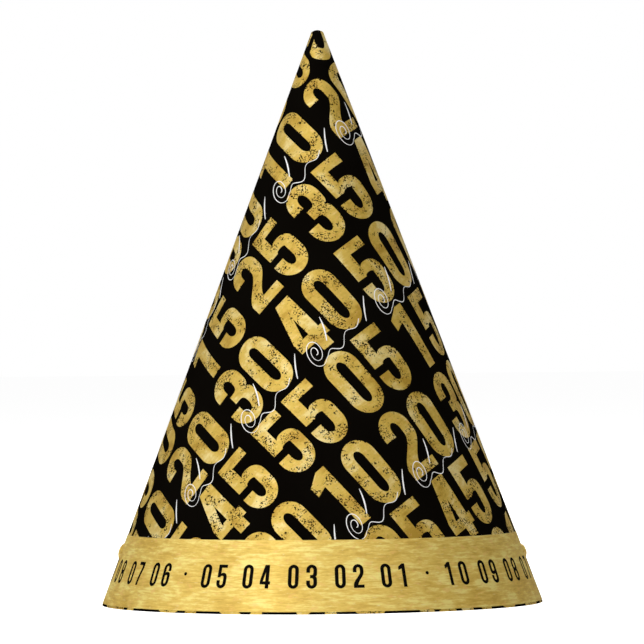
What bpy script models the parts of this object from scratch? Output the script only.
"""Paper party hat: a rolled card cone with a foil band round its base and an elastic chin strap.

Metres, +Z up. The origin is the centre of the base rim, and the hat stands on z = 0.
The front faces -Y and the glued seam is at the back, +Y. The strap's anchors are at -X and +X.
"""

import math

import bmesh
import bpy
from mathutils import Matrix, Vector

# ---------------------------------------------------------------- driving sizes (metres)
SIDES = {"left": -1, "right": 1}       # each side's sign along X

BASE_R = 0.0635                        # outer radius at the base
APEX_Z = 0.1692                        # where the cone's sides would meet
TIP_R = 0.0015                         # outer radius of the open tip
SLOPE = math.atan2(BASE_R, APEX_Z)     # lean of the wall from upright
TIP_Z = APEX_Z * (1.0 - TIP_R / BASE_R)

# Sheet thicknesses, measured square to the sheet
CARD_T = 0.00030
TAPE_T = 0.00008
FOIL_T = 0.00008
# The same measured level, because every sheet is cut off level
CARD_H = CARD_T / math.cos(SLOPE)
TAPE_H = TAPE_T / math.cos(SLOPE)
FOIL_H = FOIL_T / math.cos(SLOPE)

OVERLAP_DEG = 12.6                     # width of the glue flap
HALF_LAP = OVERLAP_DEG / 2.0
LAP_GAP = 0.00004                      # air either side of the seam tape
LAP = CARD_H + TAPE_H + 2 * LAP_GAP    # how far the outer flap stands off the inner one
FOIL_GAP = 0.00004                     # air between the card and the band
FOIL_FACE = FOIL_GAP + FOIL_H          # how far the band's outer face stands off the card

BAND_BOTTOM = 0.0007
BAND_TOP = 0.0206
TAPE_BOTTOM = 0.003
TAPE_TOP = 0.140
WALL_ROWS = [0.060, 0.115]             # heights of the mesh rows the card and tape share

# Foot and top of the die-cut windows, behind whose tongues the strap's T-ends are tucked.
# The sheet is rolled a little askew, so the right one sits lower than the left.
WINDOW_Z = {-1: (0.0130, 0.0171), 1: (0.0126, 0.0162)}
WINDOW_HALF_DEG = 4.74

ANCHOR_Z = 0.01545                     # height of the strap's swing axis
SLEEVE_INNER_X = 0.0533                # the sleeve end that the strap leaves


# ---------------------------------------------------------------- empty scene and collections
def clear_scene():
    for obj in list(bpy.data.objects):
        bpy.data.objects.remove(obj, do_unlink=True)
    for collection in list(bpy.data.collections):
        bpy.data.collections.remove(collection)


def new_collection(name):
    collection = bpy.data.collections.new(name)
    bpy.context.scene.collection.children.link(collection)
    return collection


clear_scene()
hat = new_collection("party_hat")
helpers = new_collection("helpers")


# ---------------------------------------------------------------- materials
def finish(name, colour, roughness, metallic=0.0):
    material = bpy.data.materials.new(name)
    material.use_nodes = True
    shader = material.node_tree.nodes["Principled BSDF"]
    shader.inputs["Base Color"].default_value = (*colour, 1.0)
    shader.inputs["Roughness"].default_value = roughness
    shader.inputs["Metallic"].default_value = metallic
    material.diffuse_color = (*colour, 1.0)
    return material


black_card = finish("black_card", colour=(0.010, 0.009, 0.008), roughness=0.55)
gold_foil = finish("gold_foil", colour=(0.78, 0.56, 0.19), roughness=0.42, metallic=0.55)
adhesive = finish("adhesive", colour=(0.86, 0.84, 0.78), roughness=0.35)
brass = finish("brass", colour=(0.72, 0.53, 0.22), roughness=0.30, metallic=1.0)
white_elastic = finish("white_elastic", colour=(0.86, 0.85, 0.82), roughness=0.80)


# ---------------------------------------------------------------- shared helpers
def wall(z):
    """Outer radius of the cone at height z."""
    return BASE_R * (1.0 - z / APEX_Z)


def clamp(value):
    return min(1.0, max(0.0, value))


def ramp(value, low, high):
    """Rises from 0 at low to 1 at high, level at both ends."""
    t = clamp((value - low) / (high - low))
    return t * t * (3.0 - 2.0 * t)


def add_solid(name, bm, material, collection):
    """Turn the faces outwards and place the mesh in the collection as an object."""
    bmesh.ops.recalc_face_normals(bm, faces=bm.faces[:])
    if bm.calc_volume(signed=True) < 0.0:
        bmesh.ops.reverse_faces(bm, faces=bm.faces[:])
    mesh = bpy.data.meshes.new(name)
    bm.to_mesh(mesh)
    bm.free()
    obj = bpy.data.objects.new(name, mesh)
    obj.data.materials.append(material)
    collection.objects.link(obj)
    return obj


def two_layer_grid(columns, rows, holes=()):
    """A closed sheet with its vertices at (column, row, 0), and the set of its inner-layer vertices.

    Both layers lie in one place until the caller moves them apart.
    Each hole is (column from, column to, row from, row to).
    """
    last_column, last_row = len(columns) - 1, len(rows) - 1
    bm = bmesh.new()
    bmesh.ops.create_grid(bm, x_segments=last_column, y_segments=last_row, size=1.0)
    for v in bm.verts:
        i = round((v.co.x + 1.0) / 2.0 * last_column)
        j = round((v.co.y + 1.0) / 2.0 * last_row)
        v.co = (columns[i], rows[j], 0.0)
    cut = []
    for face in bm.faces:
        mid = face.calc_center_median()
        if any(x0 < mid.x < x1 and y0 < mid.y < y1 for x0, x1, y0, y1 in holes):
            cut.append(face)
    if cut:
        bmesh.ops.delete(bm, geom=cut, context="FACES")
    made = bmesh.ops.extrude_face_region(bm, geom=bm.faces[:])
    inner = {item for item in made["geom"] if isinstance(item, bmesh.types.BMVert)}
    return bm, inner


# ---------------------------------------------------------------- sheets rolled onto the cone
# Azimuths are in degrees from the front, positive towards +X. Every sheet shares these lines,
# so their facets stay parallel.
BACK_LINES = [
    150, 154, 158, 161, 164, 167, 170, 172, 180 - HALF_LAP, 175, 176, 178, 180,
    182, 184, 185, 180 + HALF_LAP, 188, 190, 192, 195, 198, 202, 206, 210,
]
WINDOW_LINES = [-WINDOW_HALF_DEG, -2.4, 0, 2.4, WINDOW_HALF_DEG]     # from the window's middle
# Every 5 degrees round the front and sides, with the window lines in place of 85 to 95
AROUND_LINES = [deg for deg in range(-145, 150, 5) if abs(abs(deg) - 90) > 5]
AROUND_LINES += [sign * 90 + offset for sign in SIDES.values() for offset in WINDOW_LINES]

# Azimuths between which a sheet climbs or comes down
CARD_ONTO_FLAP = (160, 172)
BAND_ONTO_FLAP = (158, 170)
BAND_OFF_FLAP = (188, 198)
BAND_ONTO_ITSELF = (167, 175)

WINDOWS = [(sign * 90 - WINDOW_HALF_DEG, sign * 90 + WINDOW_HALF_DEG, *WINDOW_Z[sign])
           for sign in SIDES.values()]
WINDOW_EDGES = [z for sign in SIDES.values() for z in WINDOW_Z[sign]]


def lines_between(start, end):
    """The shared azimuth lines from start to end, ends included."""
    every = AROUND_LINES + BACK_LINES + [deg - 360 for deg in BACK_LINES]
    return sorted({round(deg, 4) for deg in every if start - 1e-6 <= deg <= end + 1e-6})


def card_lift(deg):
    """How far the card's outer face stands off the cone: its +X end rides over the other."""
    return LAP * ramp(deg, *CARD_ONTO_FLAP)


def band_lift(deg):
    """The band lies on whichever flap is outermost, then over its own inner end."""
    around = deg % 360
    over_flap = LAP * (ramp(around, *BAND_ONTO_FLAP) - ramp(around, *BAND_OFF_FLAP))
    over_itself = FOIL_FACE * ramp(deg, *BAND_ONTO_ITSELF)
    return FOIL_FACE + over_flap + over_itself


def tape_lift(_deg):
    return LAP_GAP + TAPE_H


def rolled_sheet(name, span, heights, lift, thick, material, holes=()):
    """A flat sheet cut to shape, then rolled onto the cone. lift(deg) places the outer face."""
    bm, inner = two_layer_grid(lines_between(*span), sorted(heights), holes)
    for v in bm.verts:
        deg, z = v.co.x, v.co.y
        radius = wall(z) + lift(deg) - (thick if v in inner else 0.0)
        angle = math.radians(deg)
        v.co = (radius * math.sin(angle), -radius * math.cos(angle), z)
    add_solid(name, bm, material, hat)


rolled_sheet("cone_card", span=(-180 - HALF_LAP, 180 + HALF_LAP),
             heights=[0.0, *WINDOW_EDGES, *WALL_ROWS, TIP_Z],
             lift=card_lift, thick=CARD_H, material=black_card, holes=WINDOWS)
rolled_sheet("gold_band", span=(-184, 190),
             heights=[BAND_BOTTOM, *WINDOW_EDGES, BAND_TOP],
             lift=band_lift, thick=FOIL_H, material=gold_foil, holes=WINDOWS)
rolled_sheet("seam_tape", span=(175, 185),
             heights=[TAPE_BOTTOM, *WALL_ROWS, TAPE_TOP],
             lift=tape_lift, thick=TAPE_H, material=adhesive)


# ---------------------------------------------------------------- window tongues
SLIT = 0.00012                         # cut width round a tongue; doubled at its free top
TONGUE_OUT = {-1: 0.00074, 1: 0.00072}     # how far each outer face stands off the band
TONGUE_RISE = {-1: 0.56, 1: 0.50}      # share of its height over which it rises from the fold
TONGUE_COLUMNS = 10
TONGUE_ROWS = [0.0, 0.16, 0.32, 0.44, 0.54, 0.66, 0.82, 1.0]     # shares of its height
BULGE_SOFTNESS = 0.34                  # how gently the rise turns level
CORNER_DROP = 0.0009                   # how far the top corners are lowered
CORNER_FROM_ACROSS = 0.8               # share of the half width where the lowering starts
CORNER_FROM_UP = 0.6                   # share of the height where the lowering starts
FLAT_FROM = 0.45                       # share of the height above which it is flat across
FOLD_DISPLAY_SIZE = 0.004


def bulge(t, rise):
    """A tongue's stand-off at height share t: 0 at the foot, straight out, then softly level at 1."""
    climb = t / rise
    blend = clamp(0.5 + 0.5 * (1.0 - climb) / BULGE_SOFTNESS)
    return (1.0 - blend) + climb * blend - BULGE_SOFTNESS * blend * (1.0 - blend)


def tongue(name, sign):
    """The flap inside a window, card and foil together: folded at its foot, free at its top."""
    foot, top = WINDOW_Z[sign]
    low, high = foot + SLIT, top - SLIT * 2
    half_width = math.radians(WINDOW_HALF_DEG) * wall(0.5 * (low + high)) - SLIT
    columns = [2.0 * k / TONGUE_COLUMNS - 1.0 for k in range(TONGUE_COLUMNS + 1)]
    bm, inner = two_layer_grid(columns, TONGUE_ROWS)
    for v in bm.verts:
        across, t = v.co.x, v.co.y
        corner_across = max(0.0, abs(across) - CORNER_FROM_ACROSS) / (1.0 - CORNER_FROM_ACROSS)
        corner_up = max(0.0, t - CORNER_FROM_UP) / (1.0 - CORNER_FROM_UP)
        y = across * half_width
        z = low + (high - low) * t - CORNER_DROP * corner_across * corner_up
        out = TONGUE_OUT[sign] * bulge(t, TONGUE_RISE[sign])
        # the foot follows the cone's roundness
        sag = y * y / (2.0 * wall(z)) * (1.0 - ramp(t, 0.0, FLAT_FROM))
        x = wall(z) + FOIL_FACE + out - sag
        if v in inner:
            x -= CARD_H + FOIL_FACE
        v.co = (sign * x, y, z)
    flap = add_solid(name, bm, gold_foil, hat)

    # an empty on the fold line carries the tongue
    fold = bpy.data.objects.new(name + "_fold", None)
    fold.empty_display_size = FOLD_DISPLAY_SIZE
    fold.location = (sign * (wall(foot) + FOIL_FACE), 0.0, foot)
    hat.objects.link(fold)
    flap.parent = fold
    flap.matrix_parent_inverse = Matrix.Translation(-fold.location)


for side_name, side_sign in SIDES.items():
    tongue(side_name + "_tongue", side_sign)


# ---------------------------------------------------------------- strap T-ends
BAR_LENGTH = 0.0112
BAR_T = 0.00025
BAR_H = 0.0013
BAR_ROUNDING = BAR_H * 0.42
BAR_SINK = 0.00002                     # how far the bar's inner face sits inside the wall line
BAR_X = wall(ANCHOR_Z) - BAR_SINK + BAR_T / 2.0

SLEEVE_R = 0.00085
SLEEVE_CLEARANCE = 0.0006              # between the sleeve and the card's inner face
SLEEVE_OUTER_X = wall(ANCHOR_Z) - CARD_H - SLEEVE_CLEARANCE
NECK_R = 0.00045
NECK_IN_SLEEVE = 0.0004                # length of neck inside the sleeve
ROUND_SEGMENTS = 20


def bar_mesh():
    """A flat bar with rounded ends, leaning with the wall."""
    bm = bmesh.new()
    bmesh.ops.create_cube(bm, size=1.0)
    for v in bm.verts:
        v.co = (v.co.x * BAR_T, v.co.y * BAR_LENGTH, v.co.z * BAR_H)
    through_edges = [edge for edge in bm.edges
                     if abs((edge.verts[0].co - edge.verts[1].co).x) > BAR_T / 2]
    bmesh.ops.bevel(bm, geom=through_edges, offset=BAR_ROUNDING, segments=4, profile=0.5,
                    affect="EDGES")
    bmesh.ops.rotate(bm, verts=bm.verts[:], cent=(0, 0, 0),
                     matrix=Matrix.Rotation(-SLOPE, 3, "Y"))
    bmesh.ops.translate(bm, verts=bm.verts[:], vec=(BAR_X, 0.0, ANCHOR_Z))
    return bm


def rod_mesh(radius, x0, x1):
    """A solid cylinder along the swing axis."""
    bm = bmesh.new()
    middle = Matrix.Translation(((x0 + x1) / 2.0, 0.0, ANCHOR_Z))
    bmesh.ops.create_cone(bm, cap_ends=True, cap_tris=False, segments=ROUND_SEGMENTS,
                          radius1=radius, radius2=radius, depth=x1 - x0,
                          matrix=middle @ Matrix.Rotation(math.pi / 2.0, 4, "Y"))
    return bm


def t_end_piece(name, bm, sign, collection):
    """The pieces are modelled at +X and mirrored for the left side."""
    if sign < 0:
        bmesh.ops.scale(bm, verts=bm.verts[:], vec=(-1, 1, 1))
    return add_solid(name, bm, brass, collection)


def t_end(name, sign):
    """A bar lying across the window, a neck through it and a crimp sleeve inside."""
    sleeve = t_end_piece(name, rod_mesh(SLEEVE_R, SLEEVE_INNER_X, SLEEVE_OUTER_X), sign, hat)
    neck = rod_mesh(NECK_R, SLEEVE_OUTER_X - NECK_IN_SLEEVE, BAR_X)
    for kind, bm in (("bar", bar_mesh()), ("neck", neck)):
        helper = t_end_piece(f"{name}_{kind}", bm, sign, helpers)
        helper.hide_render = True
        helper.display_type = "WIRE"
        join = sleeve.modifiers.new("join_" + helper.name, "BOOLEAN")
        join.operation = "UNION"
        join.solver = "EXACT"
        join.object = helper


for side_name, side_sign in SIDES.items():
    t_end(side_name + "_t_end", side_sign)


# ---------------------------------------------------------------- elastic chin strap
CORD_R = 0.0006
STRAP_TILT = math.radians(13.1)        # how far the loop drops below level towards the back
STRAP_HALF_WIDTH = 0.0551              # of the ellipse the loop follows
STRAP_REACH = 0.0620                   # of that ellipse, from the swing axis
STRAP_START_X = SLEEVE_INNER_X - 0.0001
ARC_START_DEG = 32
ARC_STEPS = 10
STEPS_PER_SPAN = 4

# The lead out of each sleeve: (distance inwards from the strap's start, reach)
STRAP_LEAD = [
    (0.0008, 0.0), (0.0016, 0.0005), (0.0020, 0.0018), (0.0021, 0.0044),
    (0.0022, 0.0085), (0.0025, 0.0140), (0.0034, 0.0215),
]


def catmull_rom(before, start, end, after, u):
    """The point a share u of the way from start to end."""
    return 0.5 * (2 * start + (end - before) * u
                  + (2 * before - 5 * start + 4 * end - after) * u * u
                  + (3 * start - before - 3 * end + after) * u * u * u)


def strap_points():
    """The slack loop in its own plane: (x, reach).

    It leaves each sleeve along the swing axis, then springs out to the wall.
    """
    lead = [(STRAP_START_X - inwards, reach) for inwards, reach in STRAP_LEAD]
    arc = []
    for k in range(ARC_STEPS + 1):
        angle = math.radians(ARC_START_DEG + (180 - 2 * ARC_START_DEG) * k / ARC_STEPS)
        arc.append((STRAP_HALF_WIDTH * math.cos(angle), STRAP_REACH * math.sin(angle)))
    mirrored_lead = [(-x, reach) for x, reach in reversed(lead)]
    knots = [Vector(knot) for knot in lead + arc + mirrored_lead]
    line = [Vector((STRAP_START_X, 0.0)), knots[0]]
    for k in range(1, len(knots) - 2):
        for j in range(STEPS_PER_SPAN):
            line.append(catmull_rom(*knots[k - 1:k + 3], j / STEPS_PER_SPAN))
    return line + [knots[-2], knots[-1], Vector((-STRAP_START_X, 0.0))]


def elastic_strap():
    curve = bpy.data.curves.new("elastic_strap", "CURVE")
    curve.dimensions = "3D"
    curve.bevel_depth = CORD_R
    curve.bevel_resolution = 2
    curve.use_fill_caps = True
    points = strap_points()
    spline = curve.splines.new("POLY")
    spline.points.add(len(points) - 1)
    for point, (x, reach) in zip(spline.points, points):
        point.co = (x, reach * math.cos(STRAP_TILT), -reach * math.sin(STRAP_TILT), 1.0)
    strap = bpy.data.objects.new("elastic_strap", curve)
    strap.location = (0.0, 0.0, ANCHOR_Z)      # its origin is on the swing axis
    curve.materials.append(white_elastic)
    hat.objects.link(strap)


elastic_strap()
bpy.context.view_layer.update()
